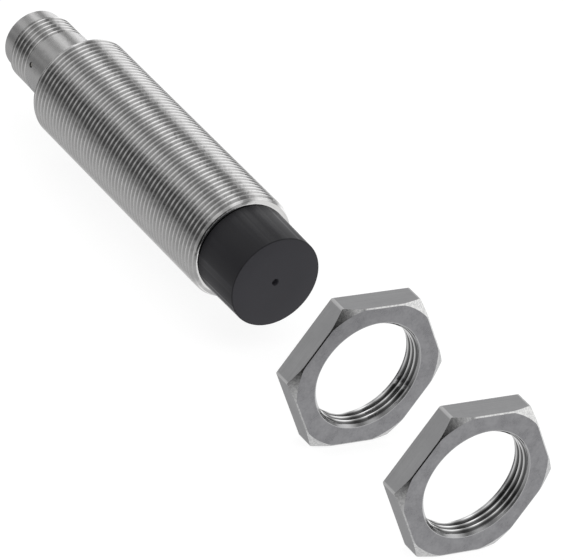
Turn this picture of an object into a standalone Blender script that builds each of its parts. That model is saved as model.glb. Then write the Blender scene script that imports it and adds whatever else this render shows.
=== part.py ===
"""M18 inductive proximity sensor, non-flush, with an M12 plug and two loose hexagon nuts.

The sensor lies along +X with its sensing face forward. The origin is on its
axis, in the middle of the threaded barrel. Sizes are in millimetres and are
turned into metres when the shapes are made.
"""
import math

import bmesh
import bpy
from mathutils import Vector

MM = 0.001

# Threads. Each is drawn plain at its pitch diameter.
THREAD_D = 18.0
PLUG_THREAD_D = 12.0
THREAD_PITCH = 1.0

# Fits.
SEAT_GAP = 0.15
THREAD_PLAY = 0.2

# Barrel.
BARREL_LENGTH = 51.0
BARREL_WALL = 1.18
BARREL_BEVEL = 0.5

# Sensing cap.
CAP_REACH = 10.0
CAP_SHOULDER = 0.355
CAP_DRAFT = 0.15
CAP_EDGE = 0.15
CAP_FACE_WALL = 1.0
CAP_SKIRT_WALL = 0.65
CAP_SKIRT_LENGTH = 6.0
DIMPLE_D = 1.2
DIMPLE_DEPTH = 0.5

# Pot core and its coil.
CORE_LENGTH = 6.0
CORE_POST_SHARE = 0.397
CORE_WALL_SHARE = 0.19
GROOVE_SHARE = 0.7
FLANGE = 0.4
HUB_WALL = 0.45
LEAD_D = 0.5
LEAD_HOLE_D = 0.9

# Carrier and circuit board.
CARRIER_THICK = 2.0
BOARD_THICK = 1.0
BOARD_SHARE = 0.794
TAIL_SHARE = 0.773
BOARD_STEP = 1.0

# Plug shell.
SHELL_PLUG_LENGTH = 6.0
NECK_LENGTH = 7.6
PLUG_THREAD_LENGTH = 5.7
COLLAR_STEP = 0.65
COLLAR_LENGTH = 3.0
COLLAR_ROUND = 0.7
COLLAR_WALL = 0.95
SEAL_GROOVE_W = 1.0
SEAL_D = 0.7

# Plug insert and pins.
INSERT_THICK = 2.9
SOCKET_DEPTH = 4.3
LINING_WALL = 0.35
KEY_W = 1.0
KEY_H = 0.5
PIN_D = 1.0
PIN_CIRCLE_SHARE = 0.568
PIN_REACH = 3.8
PIN_TAIL = 1.4

# Status light.
WINDOW_FROM_BARREL = 6.5
GUIDE_D = 0.8
LED_SIZE = (1.2, 1.0, 0.8)

# Nuts.
NUT_FLATS = 24.0
NUT_THICK = 4.0
NUT_CHAMFER_D = 24.6
NUT_CHAMFER_ANGLE = 30.0
NUT_MOUTH = 0.5
NUT_1_FROM_FACE = 25.0
NUT_SPACING = 30.0

# Derived sizes. A thread's pitch line lies 0.325 of its pitch inside its crest.
PITCH_DEPTH = 0.325 * THREAD_PITCH
BARREL_R = THREAD_D / 2 - PITCH_DEPTH
BARREL_BORE_R = BARREL_R - BARREL_WALL
BARREL_FRONT = BARREL_LENGTH / 2
BARREL_REAR = -BARREL_LENGTH / 2
FACE_X = BARREL_FRONT + CAP_REACH
CAP_ROOT_R = BARREL_BORE_R + CAP_SHOULDER
CAP_FACE_R = CAP_ROOT_R - CAP_DRAFT
CAP_BORE_R = BARREL_BORE_R - SEAT_GAP - CAP_SKIRT_WALL
CORE_R = CAP_BORE_R - SEAT_GAP
CORE_FRONT = FACE_X - CAP_FACE_WALL - SEAT_GAP
CORE_REAR = CORE_FRONT - CORE_LENGTH
GROOVE_REAR = CORE_FRONT - CORE_LENGTH * GROOVE_SHARE
GROOVE_INNER_R = CORE_R * CORE_POST_SHARE
GROOVE_OUTER_R = CORE_R * (1 - CORE_WALL_SHARE)
LEAD_SPREAD = (GROOVE_INNER_R + GROOVE_OUTER_R) / 2
CARRIER_FRONT = CORE_REAR - SEAT_GAP
BOARD_FRONT = CARRIER_FRONT - SEAT_GAP
BOARD_W = 2 * CORE_R * BOARD_SHARE
NECK_R = PLUG_THREAD_D / 2
COLLAR_R = NECK_R - COLLAR_STEP
SOCKET_R = COLLAR_R - COLLAR_WALL
TAIL_W = 2 * SOCKET_R * TAIL_SHARE
PIN_CIRCLE_R = SOCKET_R * PIN_CIRCLE_SHARE
BOARD_STEP_X = BARREL_REAR + SHELL_PLUG_LENGTH + BOARD_STEP
NECK_REAR = BARREL_REAR - NECK_LENGTH
THREAD_REAR = NECK_REAR - PLUG_THREAD_LENGTH
TIP_X = THREAD_REAR - COLLAR_LENGTH
INSERT_REAR = TIP_X + SOCKET_DEPTH
INSERT_FRONT = INSERT_REAR + INSERT_THICK
PIN_FRONT = INSERT_FRONT + PIN_TAIL
BOARD_TAIL = PIN_FRONT + 4 * SEAT_GAP
WINDOW_X = BARREL_REAR - WINDOW_FROM_BARREL
LED_Z = BOARD_THICK / 2 + SEAT_GAP + LED_SIZE[2] / 2
NUT_BORE_R = BARREL_R + THREAD_PLAY
NUT_1_X = FACE_X + NUT_1_FROM_FACE
NUT_2_X = NUT_1_X + NUT_SPACING


def collection(name):
    made = bpy.data.collections.new(name)
    bpy.context.scene.collection.children.link(made)
    return made


def material(name, colour, roughness, metallic):
    made = bpy.data.materials.new(name)
    made.use_nodes = True
    made.diffuse_color = (*colour, 1.0)
    shader = made.node_tree.nodes["Principled BSDF"]
    shader.inputs["Base Color"].default_value = (*colour, 1.0)
    shader.inputs["Roughness"].default_value = roughness
    shader.inputs["Metallic"].default_value = metallic
    return made


def place(obj, group, parent, surface=None):
    for old in list(obj.users_collection):
        old.objects.unlink(obj)
    group.objects.link(obj)
    obj.parent = parent
    if surface:
        obj.data.materials.append(surface)
    return obj


def smooth(mesh):
    for face in mesh.polygons:
        face.use_smooth = True
    mesh.set_sharp_from_angle(angle=math.radians(32))


def turned(name, profile, surface, group, parent, closed=False, steps=48):
    """Profile of (radius, x) points, turned about the sensor's axis."""
    mesh = bpy.data.meshes.new(name)
    points = [(radius * MM, 0.0, x * MM) for radius, x in profile]
    edges = [(i, i + 1) for i in range(len(points) - 1)]
    if closed:
        edges.append((len(points) - 1, 0))
    mesh.from_pydata(points, edges, [])
    obj = bpy.data.objects.new(name, mesh)
    screw = obj.modifiers.new("Turn", "SCREW")
    screw.axis = "Z"
    screw.steps = steps
    screw.render_steps = steps
    screw.use_merge_vertices = True
    screw.merge_threshold = 0.00001
    screw.use_smooth_shade = True
    obj.rotation_euler = (0.0, math.pi / 2, 0.0)
    return place(obj, group, parent, surface)


def block(name, size, centre, surface, group, parent):
    mesh = bpy.data.meshes.new(name)
    shape = bmesh.new()
    bmesh.ops.create_cube(shape, size=1.0)
    bmesh.ops.scale(shape, vec=[side * MM for side in size], verts=shape.verts)
    shape.to_mesh(mesh)
    shape.free()
    obj = bpy.data.objects.new(name, mesh)
    obj.location = [value * MM for value in centre]
    return place(obj, group, parent, surface)


def rod(name, radius, start, end, surface, group, parent, sides=24):
    """Straight cylinder between two points."""
    mesh = bpy.data.meshes.new(name)
    shape = bmesh.new()
    length = math.dist(start, end)
    bmesh.ops.create_cone(shape, cap_ends=True, segments=sides, radius1=radius * MM,
                          radius2=radius * MM, depth=length * MM)
    shape.to_mesh(mesh)
    shape.free()
    obj = bpy.data.objects.new(name, mesh)
    obj.location = [(a + b) / 2 * MM for a, b in zip(start, end)]
    obj.rotation_mode = "QUATERNION"
    obj.rotation_quaternion = (Vector(end) - Vector(start)).to_track_quat("Z", "Y")
    smooth(mesh)
    return place(obj, group, parent, surface)


def wire(name, radius, points, surface, group, parent):
    """Bent wire with filled ends."""
    curve = bpy.data.curves.new(name, "CURVE")
    curve.dimensions = "3D"
    curve.bevel_depth = radius * MM
    curve.bevel_resolution = 1
    curve.use_fill_caps = True
    line = curve.splines.new("POLY")
    line.points.add(len(points) - 1)
    for knot, point in zip(line.points, points):
        knot.co = (*[value * MM for value in point], 1.0)
    obj = bpy.data.objects.new(name, curve)
    return place(obj, group, parent, surface)


def plate(name, outline, thickness, surface, group, parent):
    """Flat outline in the XY plane, with half the thickness on each side."""
    curve = bpy.data.curves.new(name, "CURVE")
    curve.dimensions = "2D"
    curve.fill_mode = "BOTH"
    curve.extrude = thickness / 2 * MM
    line = curve.splines.new("POLY")
    line.points.add(len(outline) - 1)
    for knot, (x, y) in zip(line.points, outline):
        knot.co = (x * MM, y * MM, 0.0, 1.0)
    line.use_cyclic_u = True
    obj = bpy.data.objects.new(name, curve)
    return place(obj, group, parent, surface)


def cut(target, tool, operation="DIFFERENCE"):
    boolean = target.modifiers.new(tool.name, "BOOLEAN")
    boolean.operation = operation
    boolean.solver = "EXACT"
    boolean.object = tool


for old in list(bpy.data.objects):
    bpy.data.objects.remove(old, do_unlink=True)

parts = collection("proximity_sensor")
cutters = collection("cutters")

nickel = material("nickel_plate", (0.62, 0.61, 0.59), 0.24, 1.0)
satin = material("satin_nickel", (0.50, 0.50, 0.49), 0.34, 1.0)
charcoal = material("charcoal_plastic", (0.030, 0.030, 0.033), 0.42, 0.0)
black = material("black_plastic", (0.015, 0.015, 0.016), 0.5, 0.0)
ferrite = material("ferrite", (0.055, 0.052, 0.05), 0.6, 0.0)
copper = material("copper", (0.72, 0.34, 0.18), 0.32, 1.0)
resin = material("board_resin", (0.02, 0.12, 0.05), 0.5, 0.0)
epoxy = material("chip_epoxy", (0.02, 0.02, 0.02), 0.55, 0.0)
tan = material("chip_ceramic", (0.42, 0.30, 0.19), 0.5, 0.0)
gold = material("gold_plate", (0.83, 0.62, 0.25), 0.25, 1.0)
lens = material("clear_lens", (0.75, 0.70, 0.45), 0.15, 0.0)
rubber = material("seal_rubber", (0.02, 0.02, 0.02), 0.8, 0.0)


def pivot(name, x):
    """Empty on the sensor's axis that carries a body."""
    empty = bpy.data.objects.new(name, None)
    empty.location = (x * MM, 0.0, 0.0)
    parts.objects.link(empty)
    return empty


def tool(obj):
    """Sets a shape aside as a cutter."""
    obj.hide_render = True
    obj.display_type = "WIRE"
    return obj


sensor = pivot("sensor", 0.0)

# Barrel: a threaded tube with a bevel at each end.
turned("barrel", [
    (BARREL_R - BARREL_BEVEL / 2, BARREL_FRONT),
    (BARREL_R, BARREL_FRONT - BARREL_BEVEL),
    (BARREL_R, BARREL_REAR + BARREL_BEVEL),
    (BARREL_R - BARREL_BEVEL, BARREL_REAR),
    (BARREL_BORE_R, BARREL_REAR),
    (BARREL_BORE_R, BARREL_FRONT),
], nickel, parts, sensor, closed=True, steps=64)

# Sensing cap: a tapered cup whose skirt plugs into the barrel.
cap_shoulder = BARREL_FRONT + SEAT_GAP
skirt_r = BARREL_BORE_R - SEAT_GAP
turned("sensing_cap", [
    (0.0, FACE_X - DIMPLE_DEPTH),
    (DIMPLE_D / 2 - DIMPLE_DEPTH / 2, FACE_X - DIMPLE_DEPTH),
    (DIMPLE_D / 2, FACE_X),
    (CAP_FACE_R - CAP_EDGE, FACE_X),
    (CAP_FACE_R, FACE_X - CAP_EDGE),
    (CAP_ROOT_R, cap_shoulder),
    (skirt_r, cap_shoulder),
    (skirt_r, cap_shoulder - CAP_SKIRT_LENGTH + CAP_EDGE),
    (skirt_r - CAP_EDGE, cap_shoulder - CAP_SKIRT_LENGTH),
    (CAP_BORE_R, cap_shoulder - CAP_SKIRT_LENGTH),
    (CAP_BORE_R, FACE_X - CAP_FACE_WALL),
    (0.0, FACE_X - CAP_FACE_WALL),
], charcoal, parts, sensor, steps=64)

# Pot core: a ferrite cup with a centre post, open towards the sensing face.
core = turned("ferrite_core", [
    (0.0, CORE_FRONT),
    (GROOVE_INNER_R, CORE_FRONT),
    (GROOVE_INNER_R, GROOVE_REAR),
    (GROOVE_OUTER_R, GROOVE_REAR),
    (GROOVE_OUTER_R, CORE_FRONT),
    (CORE_R, CORE_FRONT),
    (CORE_R, CORE_REAR),
    (0.0, CORE_REAR),
], ferrite, parts, sensor)

# Bobbin: a flanged spool on the core's post.
spool_front = CORE_FRONT - SEAT_GAP
spool_rear = GROOVE_REAR + SEAT_GAP
spool_bore = GROOVE_INNER_R + SEAT_GAP
hub_r = spool_bore + HUB_WALL
flange_r = GROOVE_OUTER_R - SEAT_GAP
bobbin = turned("coil_bobbin", [
    (spool_bore, spool_front),
    (flange_r, spool_front),
    (flange_r, spool_front - FLANGE),
    (hub_r, spool_front - FLANGE),
    (hub_r, spool_rear + FLANGE),
    (flange_r, spool_rear + FLANGE),
    (flange_r, spool_rear),
    (spool_bore, spool_rear),
], black, parts, sensor, closed=True)

# Winding: the wire fills the spool between its flanges.
wound_front = spool_front - FLANGE - SEAT_GAP
wound_rear = spool_rear + FLANGE + SEAT_GAP
turned("coil_winding", [
    (hub_r + SEAT_GAP, wound_front),
    (flange_r - 2 * SEAT_GAP, wound_front),
    (flange_r - SEAT_GAP, wound_front - SEAT_GAP),
    (flange_r - SEAT_GAP, wound_rear + SEAT_GAP),
    (flange_r - 2 * SEAT_GAP, wound_rear),
    (hub_r + SEAT_GAP, wound_rear),
], copper, parts, sensor, closed=True)

# Leads: two straight wires from the winding, through the core, to the board.
for number, side in ((1, 1), (2, -1)):
    y = side * LEAD_SPREAD
    rod("coil_lead_%d" % number, LEAD_D / 2, (BOARD_FRONT + SEAT_GAP, y, 0.0),
        (wound_rear - SEAT_GAP, y, 0.0), copper, parts, sensor, sides=12)
    hole = tool(rod("lead_hole_%d" % number, LEAD_HOLE_D / 2, (CORE_REAR - 1.0, y, 0.0),
                    (spool_rear + FLANGE + SEAT_GAP / 2, y, 0.0), None, cutters, sensor, sides=16))
    cut(core, hole)
    cut(bobbin, hole)

# Carrier: a disc behind the core, slotted for the board's front edge.
carrier = turned("core_carrier", [
    (0.0, CARRIER_FRONT),
    (CORE_R, CARRIER_FRONT),
    (CORE_R, CARRIER_FRONT - CARRIER_THICK),
    (0.0, CARRIER_FRONT - CARRIER_THICK),
], black, parts, sensor)
slot_w = BOARD_W + 2 * SEAT_GAP
slot_h = BOARD_THICK + 2 * SEAT_GAP
cut(carrier, tool(block("board_slot", (3 * CARRIER_THICK, slot_w, slot_h),
                        (CARRIER_FRONT - CARRIER_THICK / 2, 0.0, 0.0), None, cutters, sensor)))

# Circuit board: wide in the barrel, with a narrow tail into the plug.
plate("circuit_board", [
    (BOARD_FRONT, -BOARD_W / 2),
    (BOARD_FRONT, BOARD_W / 2),
    (BOARD_STEP_X, BOARD_W / 2),
    (BOARD_STEP_X, TAIL_W / 2),
    (BOARD_TAIL, TAIL_W / 2),
    (BOARD_TAIL, -TAIL_W / 2),
    (BOARD_STEP_X, -TAIL_W / 2),
    (BOARD_STEP_X, -BOARD_W / 2),
], BOARD_THICK, resin, parts, sensor)

# Board components: name, size, distance behind the board's front edge and share of its width.
for name, size, back, share, surface in (
        ("oscillator_chip", (5.0, 4.0, 1.4), 14.0, 0.0, epoxy),
        ("output_transistor", (3.0, 3.4, 1.2), 36.0, 0.15, epoxy),
        ("capacitor_1", (2.0, 1.25, 1.0), 8.0, 0.25, tan),
        ("capacitor_2", (2.0, 1.25, 1.0), 8.0, -0.25, tan),
        ("resistor_1", (1.6, 0.8, 0.5), 23.0, 0.25, epoxy),
        ("resistor_2", (1.6, 0.8, 0.5), 23.0, -0.25, epoxy)):
    lift = BOARD_THICK / 2 + SEAT_GAP + size[2] / 2
    block(name, size, (BOARD_FRONT - back, share * BOARD_W, lift), surface, parts, sensor)

# Plug shell: a plug in the barrel, a neck, a thread and a rounded lead-in collar.
plug_r = BARREL_BORE_R - SEAT_GAP
plug_front = BARREL_REAR + SHELL_PLUG_LENGTH
seal_x = BARREL_REAR + SHELL_PLUG_LENGTH / 2
seal_bottom = plug_r - SEAL_D - SEAT_GAP / 2
thread_r = PLUG_THREAD_D / 2 - PITCH_DEPTH
round_steps = 4
collar_edge = [(COLLAR_R - COLLAR_ROUND + COLLAR_ROUND * math.cos(step * math.pi / 2 / round_steps),
                TIP_X + COLLAR_ROUND - COLLAR_ROUND * math.sin(step * math.pi / 2 / round_steps))
               for step in range(round_steps + 1)]
shell = turned("connector_shell", [
    (SOCKET_R, plug_front),
    (plug_r - CAP_EDGE, plug_front),
    (plug_r, plug_front - CAP_EDGE),
    (plug_r, seal_x + SEAL_GROOVE_W / 2),
    (seal_bottom, seal_x + SEAL_GROOVE_W / 2),
    (seal_bottom, seal_x - SEAL_GROOVE_W / 2),
    (plug_r, seal_x - SEAL_GROOVE_W / 2),
    (plug_r, BARREL_REAR),
    (NECK_R, BARREL_REAR),
    (NECK_R, NECK_REAR),
    (thread_r, NECK_REAR),
    (thread_r, THREAD_REAR),
    (COLLAR_R, THREAD_REAR),
    *collar_edge,
    (SOCKET_R, TIP_X),
], nickel, parts, sensor, closed=True)

# Seal: an O-ring in the shell's groove, against the barrel.
seal_r = plug_r - SEAL_D / 2
turned("shell_seal", [
    (seal_r + SEAL_D / 2 * math.sin(turn * math.pi / 4), seal_x + SEAL_D / 2 * math.cos(turn * math.pi / 4))
    for turn in range(8)
], rubber, parts, sensor, closed=True)

# Light guide: carries the status light through the neck to its window.
guide_end = -math.sqrt((NECK_R) ** 2 - LED_Z ** 2) + SEAT_GAP / 2
led_y = -TAIL_W / 2 + LED_SIZE[1] / 2 + SEAT_GAP
block("status_led", LED_SIZE, (WINDOW_X, led_y, LED_Z), lens, parts, sensor)
rod("light_guide", GUIDE_D / 2, (WINDOW_X, led_y - LED_SIZE[1] / 2 - SEAT_GAP, LED_Z),
    (WINDOW_X, guide_end, LED_Z), lens, parts, sensor)
cut(shell, tool(rod("window_hole", GUIDE_D / 2 + SEAT_GAP, (WINDOW_X, -SOCKET_R / 2, LED_Z),
                    (WINDOW_X, -2 * NECK_R, LED_Z), None, cutters, sensor)))

# Plug insert: a disc with a thin lining round the socket and a coding key.
insert_r = SOCKET_R - SEAT_GAP
lining_r = insert_r - LINING_WALL
insert = turned("connector_insert", [
    (0.0, INSERT_FRONT),
    (insert_r, INSERT_FRONT),
    (insert_r, TIP_X + COLLAR_ROUND),
    (lining_r, TIP_X + COLLAR_ROUND),
    (lining_r, INSERT_REAR),
    (0.0, INSERT_REAR),
], black, parts, sensor)
key_length = INSERT_REAR - TIP_X - COLLAR_ROUND
key_top = insert_r - LINING_WALL / 2
cut(insert, tool(block("insert_key", (key_length + INSERT_THICK / 2, KEY_W, KEY_H + LINING_WALL / 2),
                       (INSERT_REAR - key_length / 2 + INSERT_THICK / 4, 0.0,
                        key_top - (KEY_H + LINING_WALL / 2) / 2), None, cutters, sensor)), "UNION")

# Pins: four round contacts with pointed ends, each with a short wire to the board.
pin_tip = INSERT_REAR - PIN_REACH
for number in range(1, 5):
    angle = math.pi / 4 + (number - 1) * math.pi / 2
    y = PIN_CIRCLE_R * math.cos(angle)
    z = PIN_CIRCLE_R * math.sin(angle)
    pin = turned("contact_pin_%d" % number, [
        (0.0, PIN_FRONT),
        (PIN_D / 2, PIN_FRONT),
        (PIN_D / 2, pin_tip + PIN_D / 2),
        (PIN_D / 5, pin_tip),
        (0.0, pin_tip),
    ], gold, parts, sensor, steps=16)
    pin.location = (0.0, y * MM, z * MM)
    cut(insert, tool(rod("pin_hole_%d" % number, PIN_D / 2 + SEAT_GAP, (INSERT_REAR - 0.5, y, z),
                         (INSERT_FRONT + 0.5, y, z), None, cutters, sensor, sides=16)))
    lead_z = math.copysign(BOARD_THICK / 2 + SEAT_GAP + LEAD_D / 2, z)
    start = PIN_FRONT + SEAT_GAP
    wire("pin_lead_%d" % number, LEAD_D / 2, [
        (start, y, z),
        (start + LEAD_D, y, z),
        (start + 3 * LEAD_D, y, lead_z),
        (start + 6 * LEAD_D, y, lead_z),
    ], copper, parts, sensor)

# Nuts: hexagons with the front face chamfered, the back left plain, and a bore that
# passes the barrel.
hex_corner = NUT_FLATS / math.sqrt(3)
chamfer_drop = (hex_corner * 1.1 - NUT_CHAMFER_D / 2) * math.tan(math.radians(NUT_CHAMFER_ANGLE))
for name, x in (("nut_1", NUT_1_X), ("nut_2", NUT_2_X)):
    carrier_empty = pivot(name + "_slide", x)
    mesh = bpy.data.meshes.new(name)
    shape = bmesh.new()
    bmesh.ops.create_cone(shape, cap_ends=True, segments=6, radius1=hex_corner * MM,
                          radius2=hex_corner * MM, depth=NUT_THICK * MM)
    shape.to_mesh(mesh)
    shape.free()
    nut = place(bpy.data.objects.new(name, mesh), parts, carrier_empty, satin)
    nut.rotation_euler = (0.0, math.pi / 2, 0.0)
    cut(nut, tool(turned(name + "_chamfer", [
        (0.0, NUT_THICK / 2),
        (NUT_CHAMFER_D / 2, NUT_THICK / 2),
        (hex_corner * 1.1, NUT_THICK / 2 - chamfer_drop),
        (hex_corner * 1.1, -NUT_THICK),
        (0.0, -NUT_THICK),
    ], None, cutters, carrier_empty, steps=96)), "INTERSECT")
    cut(nut, tool(turned(name + "_bore", [
        (0.0, NUT_THICK),
        (NUT_BORE_R + NUT_MOUTH + NUT_THICK / 2, NUT_THICK),
        (NUT_BORE_R, NUT_THICK / 2 - NUT_MOUTH),
        (NUT_BORE_R, NUT_MOUTH - NUT_THICK / 2),
        (NUT_BORE_R + NUT_MOUTH + NUT_THICK / 2, -NUT_THICK),
        (0.0, -NUT_THICK),
    ], None, cutters, carrier_empty, steps=64)))
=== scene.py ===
import math

import bmesh
import bpy
from mathutils import Matrix, Vector


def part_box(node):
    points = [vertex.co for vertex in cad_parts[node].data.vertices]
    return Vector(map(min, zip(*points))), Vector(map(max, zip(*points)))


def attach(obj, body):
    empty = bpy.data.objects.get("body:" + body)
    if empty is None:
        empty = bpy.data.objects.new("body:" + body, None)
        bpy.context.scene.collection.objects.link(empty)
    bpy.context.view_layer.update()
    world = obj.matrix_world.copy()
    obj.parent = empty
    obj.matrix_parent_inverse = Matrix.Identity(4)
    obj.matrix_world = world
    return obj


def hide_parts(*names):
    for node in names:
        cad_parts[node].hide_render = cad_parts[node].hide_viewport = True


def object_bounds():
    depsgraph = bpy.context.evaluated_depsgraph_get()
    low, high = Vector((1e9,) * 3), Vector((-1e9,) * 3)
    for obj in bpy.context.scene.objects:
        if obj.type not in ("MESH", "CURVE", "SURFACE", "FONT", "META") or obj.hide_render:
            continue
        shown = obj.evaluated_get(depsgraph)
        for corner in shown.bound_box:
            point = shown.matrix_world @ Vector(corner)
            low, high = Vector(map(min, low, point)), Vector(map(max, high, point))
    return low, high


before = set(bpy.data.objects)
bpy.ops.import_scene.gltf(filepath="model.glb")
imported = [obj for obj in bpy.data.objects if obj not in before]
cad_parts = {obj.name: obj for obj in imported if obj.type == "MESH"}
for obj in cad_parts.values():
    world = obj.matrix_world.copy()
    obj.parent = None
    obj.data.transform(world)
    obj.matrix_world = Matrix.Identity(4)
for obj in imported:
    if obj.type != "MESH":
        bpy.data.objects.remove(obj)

cad_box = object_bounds()
scene = bpy.context.scene

# Camera: a long lens in front of the sensor, to one side and above, rolled a little,
# as the photograph shows the sensor running from the upper left to the lower right.
CAMERA_AZIMUTH = -37.6955
CAMERA_ELEVATION = 29.0348
CAMERA_ROLL = 12.9636
CAMERA_AIM = Vector((0.034096, 0.002216, -0.000722))
CAMERA_DISTANCE = 0.8
camera_data = bpy.data.cameras.new("camera")
camera_data.sensor_width = 36.0
camera_data.lens = 335.48
camera_data.clip_start = 0.05
camera_data.clip_end = 10.0
camera_turn = (Matrix.Rotation(math.radians(90.0 + CAMERA_AZIMUTH), 3, "Z")
               @ Matrix.Rotation(math.radians(90.0 - CAMERA_ELEVATION), 3, "X")
               @ Matrix.Rotation(math.radians(CAMERA_ROLL), 3, "Z"))
camera_back = camera_turn @ Vector((0.0, 0.0, 1.0))
camera = bpy.data.objects.new("camera", camera_data)
camera.matrix_world = Matrix.Translation(CAMERA_AIM + camera_back * CAMERA_DISTANCE) @ camera_turn.to_4x4()
scene.collection.objects.link(camera)
scene.camera = camera
scene.view_settings.view_transform = "Standard"

# Studio: a white sweep under soft light from all round. What the metal mirrors are
# long soft boxes and dark gaps beside the sensor, placed by the way a surface has to
# face to show them to the camera: degrees round the axis from its right edge.
class Wire:
    """An output socket of a node tree, with arithmetic that adds the nodes it needs."""

    def __init__(self, tree, socket=None):
        self.tree = tree
        self.socket = socket

    def node(self, kind, settings=None, sockets=None, out=0):
        """Adds a node, first with its settings and then with its sockets, and gives one output."""
        made = self.tree.nodes.new(kind)
        for name, value in (settings or {}).items():
            if name == "stops":
                self.set_stops(made.color_ramp.elements, value)
            else:
                setattr(made, name, value)
        for name, value in (sockets or {}).items():
            self.feed(made.inputs[name], value)
        return Wire(self.tree, made.outputs[out]) if made.outputs else None

    def set_stops(self, stops, levels):
        """Makes a ramp of grey levels from (place, level) pairs, which start at 0 and end at 1."""
        for place, _ in levels[1:-1]:
            stops.new(place)
        for stop, (_, level) in zip(stops, levels):
            stop.color = (level, level, level, 1.0)

    def feed(self, target, value):
        """Links a wire to a socket, or sets the socket's own value."""
        if isinstance(value, Wire):
            self.tree.links.new(value.socket, target)
        elif hasattr(value, "__len__") and len(target.default_value) == 4:
            target.default_value = (*value, 1.0)
        else:
            target.default_value = value

    def shade(self, sockets):
        """Feeds the surface shader of a material."""
        for name, value in sockets.items():
            self.feed(self.tree.nodes["Principled BSDF"].inputs[name], value)

    def math(self, operation, *terms):
        """Value from a Math node that has this wire as its first term."""
        return self.node("ShaderNodeMath", {"operation": operation}, dict(enumerate((self, *terms))))

    def __add__(self, other):
        return self.math("ADD", other)

    def __sub__(self, other):
        return self.math("SUBTRACT", other)

    def __rsub__(self, other):
        return self.math("MULTIPLY_ADD", -1.0, other)

    def __mul__(self, other):
        return self.math("MULTIPLY", other)

    __radd__ = __add__
    __rmul__ = __mul__

    def ramp(self, low, high):
        """0 below low, 1 above high and a smooth step between."""
        return self.node("ShaderNodeMapRange", {"interpolation_type": "SMOOTHSTEP"},
                         {"Value": self, "From Min": low, "From Max": high})

    def mix(self, first, second):
        """Colour that goes from first to second as this value goes from 0 to 1."""
        return self.node("ShaderNodeMix", {"data_type": "RGBA"}, {0: self, 6: first, 7: second}, out=2)

    def vector(self, operation, *terms, out="Vector"):
        """Vector from a Vector Math node that has this wire as its first term."""
        return self.node("ShaderNodeVectorMath", {"operation": operation},
                         dict(enumerate((self, *terms))), out)

    def part(self, axis):
        """One of the three values of a vector or colour."""
        return self.node("ShaderNodeSeparateXYZ", None, {0: self}, axis)

    def noise(self, scale, detail=2.0, roughness=0.5):
        return self.node("ShaderNodeTexNoise", None, {
            "Vector": self, "Scale": scale, "Detail": detail, "Roughness": roughness})

    def bump(self, strength, distance):
        """Normal of a surface that this value raises."""
        return self.node("ShaderNodeBump", None, {
            "Strength": strength, "Distance": distance, "Height": self})

    def spot(self):
        """Place on the piece, in metres."""
        return self.node("ShaderNodeTexCoord", out="Object")

    def off_axis(self):
        """A place as seen along the sensor's axis, from the axis outwards."""
        return self.vector("MULTIPLY", (0.0, 1.0, 1.0))

    def from_axis(self):
        """Distance of a place from the sensor's axis."""
        return self.off_axis().vector("LENGTH", out="Value")


RIGHT_EDGE = 47.2
world = bpy.data.worlds.new("studio")
scene.world = world
world.use_nodes = True
world.node_tree.nodes.clear()
sky = Wire(world.node_tree)
mirrored_way = sky.node("ShaderNodeTexCoord", out="Generated")
facing = mirrored_way.vector("ADD", camera_back).vector("NORMALIZE")
along, across, upward = (facing.part(axis) for axis in "XYZ")
turn = upward.math("ARCTAN2", across) * (0.5 / math.pi) + (1.0 - RIGHT_EDGE / 360.0)
turn = turn.math("FRACT")


def light_ring(levels):
    """Level that changes round the axis, from (degrees, level) pairs from 0 to 360 degrees."""
    stops = [(degrees / 360.0, level) for degrees, level in levels]
    return sky.node("ShaderNodeValToRGB", {"stops": stops}, {0: turn}).part("X")


# Soft boxes and gaps for surfaces that face sideways, and the share of that light
# which is left for surfaces that lean to the front.
beside = light_ring((
    (0, 1.30), (6, 1.00), (11, 0.50), (16, 0.46), (24, 1.19), (34, 1.35), (40, 1.05), (47, 0.40),
    (52, 0.47), (59, 1.15), (64, 1.28), (70, 0.66), (76, 0.47), (82, 0.70), (88, 0.77), (94, 0.51),
    (101, 0.32), (106, 0.48), (112, 0.28), (118, 0.33), (124, 0.50), (131, 0.64), (142, 0.57), (160, 0.50),
    (166, 0.58), (173, 0.85), (180, 1.10), (320, 1.10), (360, 1.30)))
kept_ahead = light_ring((
    (0, 0.86), (16, 0.48), (24, 0.60), (34, 0.63), (46, 0.40), (54, 0.48), (66, 0.35), (76, 0.40),
    (88, 0.48), (101, 0.16), (111, 0.20), (118, 0.52), (131, 0.55), (150, 0.90), (165, 0.92), (185, 0.58),
    (320, 0.62), (360, 0.86)))
level = beside * (1.0 - along.ramp(0.25, 0.75) * (1.0 - kept_ahead))
bands = level.vector("MULTIPLY", (1.0, 1.0, 1.01))

# Surfaces at the slope of a nut's chamfer see a light patch on the right and a dark
# gap on the left. What faces almost straight ahead sees one even light.
ahead = along.ramp(0.935, 0.955)
sloped = along.ramp(0.83, 0.85) * (1.0 - ahead)
patch = sloped * across.ramp(-0.10, 0.05) * upward.ramp(0.15, 0.30)
gap = sloped * (1.0 - across.ramp(-0.32, -0.18)) * upward.ramp(-0.08, 0.12)
bands = gap.mix(patch.mix(bands, (0.95, 0.95, 0.95)), (0.02, 0.02, 0.02))
bands = ahead.mix(bands, (1.0, 1.0, 1.01))
is_camera = sky.node("ShaderNodeLightPath", out="Is Camera Ray")
is_glossy = sky.node("ShaderNodeLightPath", out="Is Glossy Ray")
is_through = sky.node("ShaderNodeLightPath", out="Is Transmission Ray")
mirrored = is_glossy.math("MAXIMUM", is_through)
surround = is_camera.mix(mirrored.mix((0.9, 0.9, 0.9), bands), (1.0, 1.0, 1.0))
shown = sky.node("ShaderNodeBackground", None, {"Color": surround, "Strength": 1.0})
sky.node("ShaderNodeOutputWorld", None, {"Surface": shown})


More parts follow.
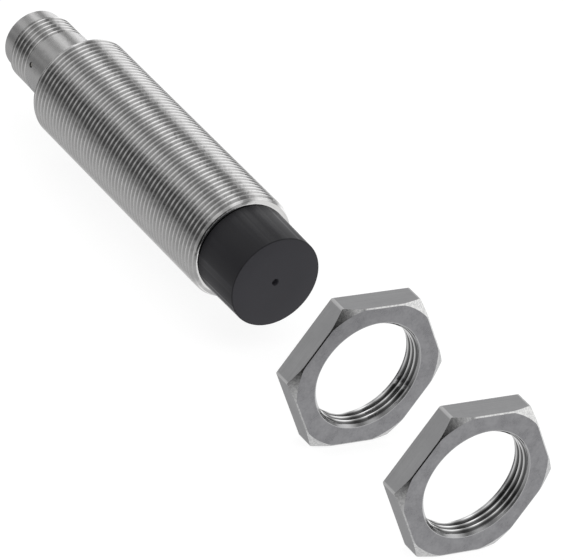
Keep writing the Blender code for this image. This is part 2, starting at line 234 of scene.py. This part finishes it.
def surface(name):
    """New material, and its node tree as a Wire."""
    made = bpy.data.materials.new(name)
    made.use_nodes = True
    return made, Wire(made.node_tree)


FLOOR_HALF = 3.0
FLOOR_GAP = 0.0002
floor_shape = bmesh.new()
bmesh.ops.create_grid(floor_shape, x_segments=1, y_segments=1, size=FLOOR_HALF)
floor_mesh = bpy.data.meshes.new("floor")
floor_shape.to_mesh(floor_mesh)
floor_shape.free()
floor = bpy.data.objects.new("floor", floor_mesh)
floor.location = (0.0, 0.0, cad_box[0].z - FLOOR_GAP)
floor.visible_glossy = False
scene.collection.objects.link(floor)
floor_paint, paint = surface("floor_paint")
paint.shade({
    "Base Color": (0.24, 0.24, 0.24), "Roughness": 0.9, "Specular IOR Level": 0.0,
    "Emission Color": (1.0, 1.0, 1.0), "Emission Strength": 0.83})
floor_mesh.materials.append(floor_paint)

KEY_PLACE = Vector((0.42, -0.20, 0.20))
KEY_AIM = Vector((0.02, 0.0, 0.0))
key_light = bpy.data.lights.new("key_light", "AREA")
key_light.shape = "RECTANGLE"
key_light.size = 0.30
key_light.size_y = 0.18
key_light.energy = 0.6
key = bpy.data.objects.new("key_light", key_light)
key.location = KEY_PLACE
key.rotation_mode = "QUATERNION"
key.rotation_quaternion = (KEY_PLACE - KEY_AIM).to_track_quat("Z", "Y")
key.visible_glossy = False
scene.collection.objects.link(key)

# Barrel: a nickel-plated brass tube with an M18 x 1 thread over its length, a
# smooth bevel round its front mouth and a chamfer at the back.
MM = 0.001
PITCH = 1.0
CREST_END = 0.13
ROOT_START = 0.43
FLANK_STEPS = [CREST_END + (ROOT_START - CREST_END) * step / 3.0 for step in range(4)]
RIDGE_STEPS = [0.0, *FLANK_STEPS, 0.5, *(1.0 - step for step in reversed(FLANK_STEPS))]
CREST_R = 9.0
THREAD_DEPTH = 0.42
THREAD_FADE = 0.4
FRONT_MARGIN = 0.15
REAR_MARGIN = 0.1
FRONT_BEVEL_LENGTH = 0.86
FRONT_BEVEL_HEIGHT = 0.44
FRONT_PLAIN = 0.6
REAR_CHAMFER = 0.5
BARREL_BORE_R = 7.495
BARREL_COLUMNS = 96
BARREL_CREASE = 75.0
PLAIN_BLEND = 0.3
barrel_low, barrel_high = (corner.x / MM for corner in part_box("barrel"))


def ridge(phase):
    """Height of a thread, 1 on its crest and 0 in its root, at a share of the pitch from the crest."""
    from_crest = abs((phase + 0.5) % 1.0 - 0.5)
    return min(1.0, max(0.0, (ROOT_START - from_crest) / (ROOT_START - CREST_END)))


def on_circle(x, r, angle):
    """Place at an angle round the axis, in metres from millimetres."""
    return x * MM, r * math.cos(angle) * MM, r * math.sin(angle) * MM


def threaded(low, high, columns, radius):
    """Skin of a right-hand thread between two planes. Its rows follow the helix. radius(x, phase)."""
    rows = []
    for turn_number in range(math.floor(low / PITCH) - 2, math.ceil(high / PITCH) + 1):
        rows += [(turn_number + step, step) for step in RIDGE_STEPS]
    shape = bmesh.new()
    grid = []
    for start, phase in rows:
        line = []
        for column in range(columns):
            x = min(high, max(low, (start + column / columns) * PITCH))
            r = radius(x, phase if low < x < high else None)
            line.append(shape.verts.new(on_circle(x, r, 2.0 * math.pi * column / columns)))
        grid.append(line)
    jump = len(RIDGE_STEPS)
    for row in range(len(rows) - 1):
        for column in range(columns):
            if column + 1 < columns:
                shape.faces.new((grid[row][column], grid[row][column + 1],
                                 grid[row + 1][column + 1], grid[row + 1][column]))
            elif row + jump + 1 < len(rows):
                shape.faces.new((grid[row][column], grid[row + jump][0],
                                 grid[row + jump + 1][0], grid[row + 1][column]))
    return shape


def join(shape, first, second):
    """Adds the faces between two rings of points."""
    for column in range(len(first)):
        after = (column + 1) % len(first)
        shape.faces.new((first[column], first[after], second[after], second[column]))


def ring_strip(shape, columns, profile):
    """Adds a turned strip through (x, radius) points."""
    angles = [2.0 * math.pi * column / columns for column in range(columns)]
    rings = [[shape.verts.new(on_circle(x, r, angle)) for angle in angles] for x, r in profile]
    for first, second in zip(rings, rings[1:]):
        join(shape, first, second)


def piece(name, shape, body, material, crease=35.0):
    """Closes a mesh, smooths it except at its creases, and rides it on a body."""
    bmesh.ops.remove_doubles(shape, verts=shape.verts, dist=2e-7)
    bmesh.ops.dissolve_degenerate(shape, edges=shape.edges, dist=1e-7)
    bmesh.ops.recalc_face_normals(shape, faces=shape.faces)
    mesh = bpy.data.meshes.new(name)
    shape.to_mesh(mesh)
    shape.free()
    for face in mesh.polygons:
        face.use_smooth = True
    mesh.set_sharp_from_angle(angle=math.radians(crease))
    mesh.materials.append(material)
    obj = bpy.data.objects.new(name, mesh)
    scene.collection.objects.link(obj)
    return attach(obj, body)


def barrel_radius(x, phase):
    """Outer radius of the barrel. It has no phase on its end planes, where the thread has run out."""
    from_front = barrel_high - x
    from_rear = x - barrel_low
    envelope = min(CREST_R,
                   CREST_R - FRONT_BEVEL_HEIGHT + from_front * FRONT_BEVEL_HEIGHT / FRONT_BEVEL_LENGTH,
                   CREST_R - REAR_CHAMFER + from_rear)
    if phase is None:
        return envelope
    fade = min(1.0, (from_front - FRONT_MARGIN) / THREAD_FADE, (from_rear - REAR_MARGIN) / THREAD_FADE)
    return min(envelope, CREST_R - THREAD_DEPTH * max(0.0, fade) * (1.0 - ridge(phase)))


def bright_nickel(name, root_r, crest_r, thread_low, thread_high, plain_shine):
    """Polished plating, with painted shade darkening the roots of the thread between two places along x,
    and plain beyond.
    """
    made, metal = surface(name)
    spot = metal.spot()
    x = spot.part("X")
    haze = spot.noise(300.0, 4.0, 0.6)
    lines = spot.vector("MULTIPLY", (9000.0, 260.0, 260.0)).noise(1.0)
    chatter = spot.vector("MULTIPLY", (1100.0, 700.0, 700.0)).noise(1.0)
    # Painted shade: the base colour darkens to 0.19 in the roots of the thread, where shade falls.
    clear_of_root_shade = spot.from_axis().ramp(root_r * MM, crest_r * MM)
    behind = 1.0 - x.ramp(thread_low * MM, (thread_low + PLAIN_BLEND) * MM)
    plain = behind + x.ramp((thread_high - PLAIN_BLEND) * MM, thread_high * MM)
    plate = haze.mix((0.625, 0.62, 0.61), (0.755, 0.75, 0.74))
    turned = lines.mix([part * plain_shine for part in (0.58, 0.576, 0.568)],
                       [part * plain_shine for part in (0.78, 0.775, 0.764)])
    plain_blur = 0.5 * (1.0 - plain_shine)
    metal.shade({
        "Base Color": plain.mix(clear_of_root_shade.mix((0.19, 0.19, 0.19), plate), turned),
        "Metallic": 1.0,
        "Roughness": 0.03 + haze * 0.05 + lines * 0.03 + plain * plain_blur,
        "Normal": chatter.bump(1.0, 0.00005)})
    return made


barrel_nickel = bright_nickel(
    "barrel_nickel", root_r=CREST_R - 0.55, crest_r=CREST_R - 0.25,
    thread_low=barrel_low, thread_high=barrel_high - FRONT_PLAIN, plain_shine=1.0)
barrel_shape = threaded(barrel_low, barrel_high, BARREL_COLUMNS, barrel_radius)
ring_strip(barrel_shape, BARREL_COLUMNS, [
    (barrel_high, barrel_radius(barrel_high, None)), (barrel_high, BARREL_BORE_R),
    (barrel_low, BARREL_BORE_R), (barrel_low, barrel_radius(barrel_low, None))])
barrel = piece("threaded_barrel", barrel_shape, "sensor", barrel_nickel, BARREL_CREASE)
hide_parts("barrel")

# Sensing cap: a charcoal plastic cup pressed into the barrel, with a slight
# taper, a softly broken edge and a small gate mark in the middle of its face.
AXIS_R = 0.02
CAP_ROOT_R = 7.85
CAP_ROOT_GAP = 0.15
CAP_ROOT_EDGE = 0.12
CAP_FACE_R = 7.70
CAP_FACE_EDGE = 0.16
CAP_FACE_RINGS = (1.6, 4.5)
CAP_SKIRT_R = 7.345
CAP_SKIRT_EDGE = 0.15
CAP_BORE_R = 6.695
CAP_WALL = 1.0
CAP_COLUMNS = 128
GATE_MOUTH_R = 0.60
GATE_LIP = 0.05
RUB_OFFSET = (3.7, 0.0, 0.0)
cap_low, cap_high = (corner.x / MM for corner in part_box("sensing_cap"))
cap_root = barrel_high + CAP_ROOT_GAP

# Depths and radii of the gate mark, from the bottom of its pit outwards.
GATE_PIT = ((0.85, AXIS_R), (0.82, 0.20), (0.70, 0.40), (0.16, 0.53))


def fillet(centre_x, centre_r, size, start, end, steps=5):
    """Arc of a profile from one angle to another, 0 along +x and 90 outwards."""
    angles = [math.radians(start + (end - start) * step / steps) for step in range(steps + 1)]
    return [(centre_x + size * math.cos(angle), centre_r + size * math.sin(angle)) for angle in angles]


def close_ends(shape):
    """Fills the small holes that a turned strip leaves at the axis."""
    bmesh.ops.holes_fill(shape, edges=[edge for edge in shape.edges if edge.is_boundary])


charcoal, plastic = surface("charcoal_plastic")
spot = plastic.spot()
grain = spot.noise(5200.0, 3.0, 0.6)
cloud = spot.noise(160.0)
side = spot.from_axis().ramp((CAP_FACE_R - 0.3) * MM, (CAP_FACE_R - 0.1) * MM)
outward = spot.off_axis().vector("NORMALIZE")
rubbed = outward.vector("ADD", RUB_OFFSET).noise(8.0).ramp(0.45, 0.65) * side
# Painted shade: the side of the cap gets about half the face's base colour, so it reads darker than the
# face.
face_tone = cloud.mix((0.0170, 0.0164, 0.0207), (0.0220, 0.0213, 0.0263))
painted_shade_side_tone = cloud.mix((0.0080, 0.0078, 0.0098), (0.0106, 0.0103, 0.0127))
plastic.shade({
    "Base Color": side.mix(face_tone, painted_shade_side_tone),
    "Roughness": 0.46 + grain * 0.08 - rubbed * 0.20,
    "Specular IOR Level": 0.33,
    "Normal": grain.bump(0.12, 0.00004)})
cap_shape = bmesh.new()
ring_strip(cap_shape, CAP_COLUMNS, [
    *((cap_high - depth, r) for depth, r in GATE_PIT),
    *fillet(cap_high - GATE_LIP, GATE_MOUTH_R, GATE_LIP, -180, -360, 4),
    *((cap_high, r) for r in CAP_FACE_RINGS),
    *fillet(cap_high - CAP_FACE_EDGE, CAP_FACE_R - CAP_FACE_EDGE, CAP_FACE_EDGE, 0, 88),
    *fillet(cap_root + CAP_ROOT_EDGE, CAP_ROOT_R - CAP_ROOT_EDGE, CAP_ROOT_EDGE, 90, 180, 3),
    (cap_root, CAP_SKIRT_R),
    (cap_low + CAP_SKIRT_EDGE, CAP_SKIRT_R), (cap_low, CAP_SKIRT_R - CAP_SKIRT_EDGE),
    (cap_low, CAP_BORE_R), (cap_high - CAP_WALL, CAP_BORE_R), (cap_high - CAP_WALL, AXIS_R)])
close_ends(cap_shape)
cap = piece("moulded_cap", cap_shape, "sensor", charcoal)
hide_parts("sensing_cap")

# Plug shell: nickel-plated brass, with a smooth neck, a short M12 x 1 thread
# and a rounded lead-in collar. A hole in the neck shows the status light.
NECK_R = 6.0
NECK_LENGTH = 7.6
NECK_EDGE = 0.1
NECK_FLARE = 0.2
PLUG_CREST_R = NECK_R - 0.04
PLUG_DEPTH = 0.42
PLUG_FADE = 0.3
COLLAR_R = 5.35
COLLAR_LENGTH = 3.0
COLLAR_EDGE = 0.8
COLLAR_OVERLAP = 0.02
COLLAR_SLOPE = 1.2
SOCKET_R = 4.40
SPIGOT_R = 7.345
SHELL_EDGE = 0.15
SHELL_COLUMNS = 96
SHELL_CREASE = 40.0
SEAL_GROOVE_R = 6.57
SEAL_GROOVE_REAR = 3.5
SEAL_GROOVE_FRONT = 2.5
WINDOW_R = 0.46
WINDOW_DEPTH = 4.0
ROUND_COLUMNS = 32
shell_low, shell_high = (corner.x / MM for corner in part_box("connector_shell"))
neck_end = barrel_low - NECK_LENGTH
collar_start = shell_low + COLLAR_LENGTH
groove_rear = shell_high - SEAL_GROOVE_REAR
groove_front = shell_high - SEAL_GROOVE_FRONT


def plug_radius(x, phase):
    """Outer radius of the plug's thread. It has no phase on its end planes."""
    envelope = min(PLUG_CREST_R, COLLAR_R + (x - collar_start) * COLLAR_SLOPE)
    if phase is None:
        return envelope
    fade = min(1.0, max(0.0, (neck_end - x) / PLUG_FADE))
    cut = PLUG_CREST_R - PLUG_DEPTH * fade * (1.0 - ridge(phase))
    return max(COLLAR_R - COLLAR_OVERLAP, min(envelope, cut))


def middle(node):
    """Middle of a solid's box, in metres."""
    low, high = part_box(node)
    return (low + high) / 2.0


shell_nickel = bright_nickel(
    "shell_nickel", root_r=PLUG_CREST_R - 0.54, crest_r=PLUG_CREST_R - 0.26,
    thread_low=collar_start, thread_high=neck_end, plain_shine=0.68)
shell_shape = threaded(collar_start, neck_end, SHELL_COLUMNS, plug_radius)
ring_strip(shell_shape, SHELL_COLUMNS, [
    (neck_end, plug_radius(neck_end, None)),
    *fillet(neck_end + NECK_EDGE, NECK_R - NECK_EDGE, NECK_EDGE, 180, 90, 3),
    (barrel_low - NECK_FLARE, NECK_R), (barrel_low, NECK_R + NECK_FLARE),
    (barrel_low, SPIGOT_R), (groove_rear, SPIGOT_R), (groove_rear, SEAL_GROOVE_R),
    (groove_front, SEAL_GROOVE_R), (groove_front, SPIGOT_R), (shell_high - SHELL_EDGE, SPIGOT_R),
    (shell_high, SPIGOT_R - SHELL_EDGE), (shell_high, SOCKET_R),
    (shell_low + SHELL_EDGE, SOCKET_R), (shell_low, SOCKET_R + SHELL_EDGE),
    *fillet(shell_low + COLLAR_EDGE, COLLAR_R - COLLAR_EDGE, COLLAR_EDGE, 180, 90),
    (collar_start, COLLAR_R)])
shell = piece("plug_shell", shell_shape, "sensor", shell_nickel, SHELL_CREASE)
guide_middle = middle("light_guide")
window = bmesh.new()
window_place = Matrix.Translation((guide_middle.x, -NECK_R * MM, guide_middle.z))
bmesh.ops.create_cone(
    window, cap_ends=True, segments=ROUND_COLUMNS, depth=WINDOW_DEPTH * MM,
    radius1=WINDOW_R * MM, radius2=WINDOW_R * MM,
    matrix=window_place @ Matrix.Rotation(math.pi / 2.0, 4, "X"))
window_mesh = bpy.data.meshes.new("window")
window.to_mesh(window_mesh)
window.free()
cutter = bpy.data.objects.new("window", window_mesh)
scene.collection.objects.link(cutter)
cut = shell.modifiers.new("window", "BOOLEAN")
cut.object = cutter
shell.data = bpy.data.meshes.new_from_object(shell.evaluated_get(bpy.context.evaluated_depsgraph_get()))
shell.modifiers.clear()
shell.data.set_sharp_from_angle(angle=math.radians(SHELL_CREASE))
bpy.data.objects.remove(cutter)
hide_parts("connector_shell")

# Status light: a clear rod that carries the light from the board to a window
# in the neck, with a slightly domed outer end. It is smoky grey while it is off.
GUIDE_DOME = 0.18
GUIDE_DOME_R = 0.17
GUIDE_SHOULDER = 0.08
GUIDE_EDGE = 0.05
guide_low, guide_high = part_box("light_guide")
guide_r = (guide_high.x - guide_low.x) / 2.0 / MM
guide_tip = guide_low.y / MM
guide_end = guide_high.y / MM


def dress(material, *nodes):
    """Gives solids that stay as they are their finished material."""
    for node in nodes:
        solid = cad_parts[node].data
        solid.materials.clear()
        solid.materials.append(material)


lens, glass = surface("clear_lens")
swirl = glass.spot().noise(900.0)
glass.shade({
    "Base Color": swirl.mix((0.24, 0.235, 0.22), (0.34, 0.33, 0.31)),
    "Roughness": 0.12 + swirl * 0.1,
    "Transmission Weight": 0.4})
guide_shape = bmesh.new()
ring_strip(guide_shape, ROUND_COLUMNS, [
    (guide_tip, AXIS_R), (guide_tip + GUIDE_DOME / 6.0, GUIDE_DOME_R),
    (guide_tip + GUIDE_DOME / 2.0, guide_r - GUIDE_SHOULDER), (guide_tip + GUIDE_DOME, guide_r),
    (guide_end - GUIDE_EDGE, guide_r), (guide_end, guide_r - GUIDE_EDGE), (guide_end, AXIS_R)])
close_ends(guide_shape)
guide_place = Matrix.Translation((guide_middle.x, 0.0, guide_middle.z))
bmesh.ops.transform(guide_shape, verts=guide_shape.verts,
                    matrix=guide_place @ Matrix.Rotation(math.pi / 2.0, 4, "Z"))
guide = piece("light_rod", guide_shape, "sensor", lens)
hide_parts("light_guide")
dress(lens, "status_led")

# Plug insert: black moulded plastic that lines the socket, with the coding key
# along the top and a seat for each pin.
insert_black, resin = surface("insert_black")
spot = resin.spot()
grain = spot.noise(4200.0, 3.0, 0.6)
resin.shade({
    "Base Color": spot.noise(300.0).mix((0.010, 0.010, 0.011), (0.018, 0.018, 0.019)),
    "Roughness": 0.38 + grain * 0.15,
    "Normal": grain.bump(0.15, 0.00004)})
dress(insert_black, "connector_insert")

# Contact pins: four turned brass pins with a thin gold plate and rounded tips,
# pressed into the insert on a square. They reach almost to the mouth of the socket.
PIN_TIP = 0.4
PIN_EDGE = 0.08
gold, gilding = surface("gold_plate")
wear = gilding.spot().noise(1500.0, 3.0)
gilding.shade({
    "Base Color": wear.mix((0.78, 0.55, 0.20), (0.90, 0.68, 0.32)),
    "Metallic": 1.0,
    "Roughness": 0.16 + wear * 0.14})
for number in range(1, 5):
    node = "contact_pin_%d" % number
    pin_low, pin_high = (corner.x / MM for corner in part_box(node))
    pin_r = (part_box(node)[1].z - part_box(node)[0].z) / 2.0 / MM
    pin_shape = bmesh.new()
    ring_strip(pin_shape, ROUND_COLUMNS, [
        (pin_low, AXIS_R), *fillet(pin_low + PIN_TIP, pin_r - PIN_TIP, PIN_TIP, 180, 90, 6),
        (pin_high - PIN_EDGE, pin_r), (pin_high, pin_r - PIN_EDGE), (pin_high, AXIS_R)])
    close_ends(pin_shape)
    bmesh.ops.translate(pin_shape, verts=pin_shape.verts, vec=(0.0, *middle(node).yz))
    pin = piece("pin_%d" % number, pin_shape, "sensor", gold)
    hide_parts(node)

# Nuts: satin nickel-plated brass hexagons, 24 mm across flats, with the front face
# chamfered at 30 degrees, a plain back and an M18 x 1 thread in the bore.
NUT_FLAT_R = 12.0
NUT_CORNER_R = NUT_FLAT_R / math.cos(math.pi / 6.0)
NUT_CHAMFER_R = 12.30
NUT_CHAMFER = 30.0
NUT_EDGE_BREAK = 0.22
NUT_CORNER_BREAK = 0.15
NUT_CORNER_ZONE = 0.35
NUT_MINOR_R = 8.65
NUT_GROOVE = 0.42
NUT_MOUTH_R = 9.15
NUT_MOUTH_DEPTH = 0.6
NUT_COLUMNS = 144
NUT_CREASE = 22.0
nut_half = (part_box("nut_1")[1].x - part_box("nut_1")[0].x) / 2.0
nut_middles = [middle(node).x for node in ("nut_1", "nut_2")]

satin, brushed = surface("satin_nickel")
spot = brushed.spot()
radius = spot.from_axis()
axial = brushed.node("ShaderNodeNewGeometry", out="Normal").part("X")
from_first = spot.part("X") - nut_middles[0]
off_middle = from_first.math("PINGPONG", (nut_middles[1] - nut_middles[0]) / 2.0)
mouth_start = nut_half - NUT_MOUTH_DEPTH * MM
bore = 1.0 - radius.ramp((NUT_MOUTH_R - 0.05) * MM, (NUT_MOUTH_R + 0.15) * MM)
cut_thread = bore * (1.0 - off_middle.ramp(mouth_start - 0.05 * MM, mouth_start + 0.05 * MM))
mouth = bore - cut_thread
flat = radius.ramp((NUT_FLAT_R - 1.0) * MM, (NUT_FLAT_R - 0.5) * MM) * (1.0 - axial.ramp(0.3, 0.6))
chamfer = axial.ramp(0.6, 0.8) * (1.0 - axial.ramp(0.93, 0.97))
chamfer = radius.ramp((NUT_FLAT_R - 0.4) * MM, (NUT_FLAT_R - 0.3) * MM) * chamfer
# The corners of the flats are lighter: partly edge wear, partly a painted highlight along the corner
# edges.
wear_and_corner_highlight = radius.ramp((NUT_CORNER_R - 0.2) * MM, (NUT_CORNER_R - 0.1) * MM)
haze = spot.noise(420.0, 3.0, 0.55)
speckle = spot.noise(2600.0, 3.0, 0.6)
mottle = (haze * 0.6 + speckle * 0.4).ramp(0.30, 0.70)
streaks = spot.vector("MULTIPLY", (7000.0, 120.0, 120.0)).noise(1.0, 3.0)
face_plate = mottle.mix((0.205, 0.204, 0.211), (0.290, 0.289, 0.296))
flat_plate = (streaks * 0.7 + mottle * 0.3).mix((0.27, 0.27, 0.274), (0.40, 0.40, 0.404))
flat_plate = wear_and_corner_highlight.mix(flat_plate, (0.52, 0.52, 0.52))
# Painted highlight: the chamfer's base colour is about three times the face's, so the chamfer shines
# brighter than the same plating on the face.
chamfer_painted_highlight = speckle.ramp(0.35, 0.65).mix((0.66, 0.66, 0.66), (0.86, 0.86, 0.85))
# Painted shade and highlight in the bore: the grooves of the thread are painted dark, and the crests are
# painted brighter than the rest of the plating.
groove = radius.ramp((NUT_MINOR_R + 0.02) * MM, (NUT_MINOR_R + 0.2) * MM)
bore_groove_shade_and_crest_highlight = groove.mix((0.94, 0.94, 0.93), (0.17, 0.17, 0.17))
# The nut's plating, with the painted highlights on the chamfer and corners and the painted shade in the
# bore.
plate = chamfer.mix(flat.mix(face_plate, flat_plate), chamfer_painted_highlight)
brushed.shade({
    "Base Color": mouth.mix(cut_thread.mix(plate, bore_groove_shade_and_crest_highlight), (0.60, 0.60, 0.60)),
    "Metallic": 1.0 - flat * 0.4,
    "Roughness": 0.26 + mottle * 0.08 + flat * 0.34 - cut_thread * 0.26 - mouth * 0.14 - chamfer * 0.18,
    "Normal": ((speckle - 0.5) * (0.04 + chamfer * 0.09)).bump(1.0, 0.00005)})


def hexagon_nut(low, high):
    """Threaded hexagon between two planes along x, with the chamfered face at the high one."""
    def bore_radius(x, phase):
        if phase is None:
            return NUT_MOUTH_R
        cone = NUT_MOUTH_R - min(x - low, high - x) * (NUT_MOUTH_R - NUT_MINOR_R) / NUT_MOUTH_DEPTH
        return max(cone, NUT_MINOR_R + NUT_GROOVE * ridge(phase))

    shape = threaded(low, high, NUT_COLUMNS, bore_radius)
    rings = [[], [], [], [], []]
    for column in range(NUT_COLUMNS):
        angle = 2.0 * math.pi * column / NUT_COLUMNS
        side_r = NUT_FLAT_R / math.cos(angle % (math.pi / 3.0) - math.pi / 6.0)
        face_r = min(NUT_CHAMFER_R, side_r - NUT_EDGE_BREAK)
        drop = (side_r - face_r) * math.tan(math.radians(NUT_CHAMFER))
        front = ((high, NUT_MOUTH_R), (high, face_r), (high - drop, side_r))
        back = ((low, side_r), (low, NUT_MOUTH_R))
        for ring, (x, r) in zip(rings, front + back):
            ring.append(shape.verts.new(on_circle(x, r, angle)))
    for first, second in zip(rings, rings[1:]):
        join(shape, first, second)
    corners = [edge for edge in shape.edges
               if abs(edge.verts[0].co.x - edge.verts[1].co.x) > (high - low) / 4.0 * MM
               and min(vert.co.yz.length for vert in edge.verts) > (NUT_CORNER_R - NUT_CORNER_ZONE) * MM]
    bmesh.ops.bevel(shape, geom=corners, offset=NUT_CORNER_BREAK * MM, offset_type="OFFSET", segments=3,
                    profile=0.5, affect="EDGES")
    return shape


for node, body in (("nut_1", "rear_nut"), ("nut_2", "front_nut")):
    nut_low, nut_high = (corner.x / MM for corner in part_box(node))
    nut = piece(node + "_hexagon", hexagon_nut(nut_low, nut_high), body, satin, NUT_CREASE)
    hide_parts(node)

# Pot core: a sintered ferrite cup behind the face, open to the front, which throws
# the field of the coil forwards. It is dark grey with a fine open grain.
ferrite, sinter = surface("ferrite")
pores = sinter.spot().noise(5000.0, 4.0, 0.7)
sinter.shade({
    "Base Color": pores.mix((0.030, 0.030, 0.033), (0.075, 0.074, 0.076)),
    "Roughness": 0.55 + pores * 0.2,
    "Normal": pores.bump(0.25, 0.00004)})
dress(ferrite, "ferrite_core")

# Coil: enamelled copper wire wound on a black bobbin, with two leads that run back
# through the core to the board. A black carrier holds core and board, and four more
# copper wires join the board to the pins.
copper, enamel = surface("copper")
spot = enamel.spot()
enamel.shade({
    "Base Color": spot.noise(1200.0).mix((0.55, 0.22, 0.09), (0.75, 0.34, 0.16)),
    "Metallic": 1.0,
    "Roughness": 0.25 + spot.noise(2000.0) * 0.15,
    "Coat Weight": 0.4})
dress(copper, "coil_winding", "coil_lead_1", "coil_lead_2")
dress(copper, "pin_lead_1", "pin_lead_2", "pin_lead_3", "pin_lead_4")
dress(insert_black, "coil_bobbin", "core_carrier")

# Circuit board: a narrow strip along the barrel, green solder resist over woven
# glass. It carries the oscillator at one end and the output at the other.
board_green, resist = surface("board_green")
spot = resist.spot()
cloth = spot.vector("MULTIPLY", (1400.0, 1400.0, 0.0))
weave = cloth.node("ShaderNodeTexChecker", None, {"Vector": cloth, "Scale": 1.0}, out=1)
tone = weave * 0.35 + spot.noise(500.0) * 0.5
resist.shade({
    "Base Color": tone.mix((0.008, 0.075, 0.028), (0.020, 0.140, 0.055)),
    "Roughness": 0.30 + weave * 0.08})
dress(board_green, "circuit_board")

# Chips: the oscillator, the output transistor and two resistors, moulded or
# coated in matt black epoxy.
chip_black, epoxy = surface("chip_black")
matt = epoxy.spot().noise(6000.0, 3.0)
epoxy.shade({
    "Base Color": matt.mix((0.012, 0.012, 0.012), (0.028, 0.028, 0.028)),
    "Roughness": 0.5 + matt * 0.2})
dress(chip_black, "oscillator_chip", "output_transistor", "resistor_1", "resistor_2")

# Capacitors: two small blocks of fired tan ceramic beside the chips, which tune
# the oscillator and steady its supply.
chip_tan, ceramic = surface("chip_tan")
fired = ceramic.spot().noise(3500.0, 3.0)
ceramic.shade({
    "Base Color": fired.mix((0.36, 0.26, 0.17), (0.48, 0.36, 0.25)),
    "Roughness": 0.4 + fired * 0.2})
dress(chip_tan, "capacitor_1", "capacitor_2")

# Seal: a black rubber ring in the groove of the plug shell, which keeps water out
# of the barrel.
rubber, elastic = surface("seal_rubber")
bloom = elastic.spot().noise(1800.0, 3.0)
elastic.shade({
    "Base Color": bloom.mix((0.008, 0.008, 0.008), (0.020, 0.020, 0.020)),
    "Roughness": 0.55 + bloom * 0.2})
dress(rubber, "shell_seal")
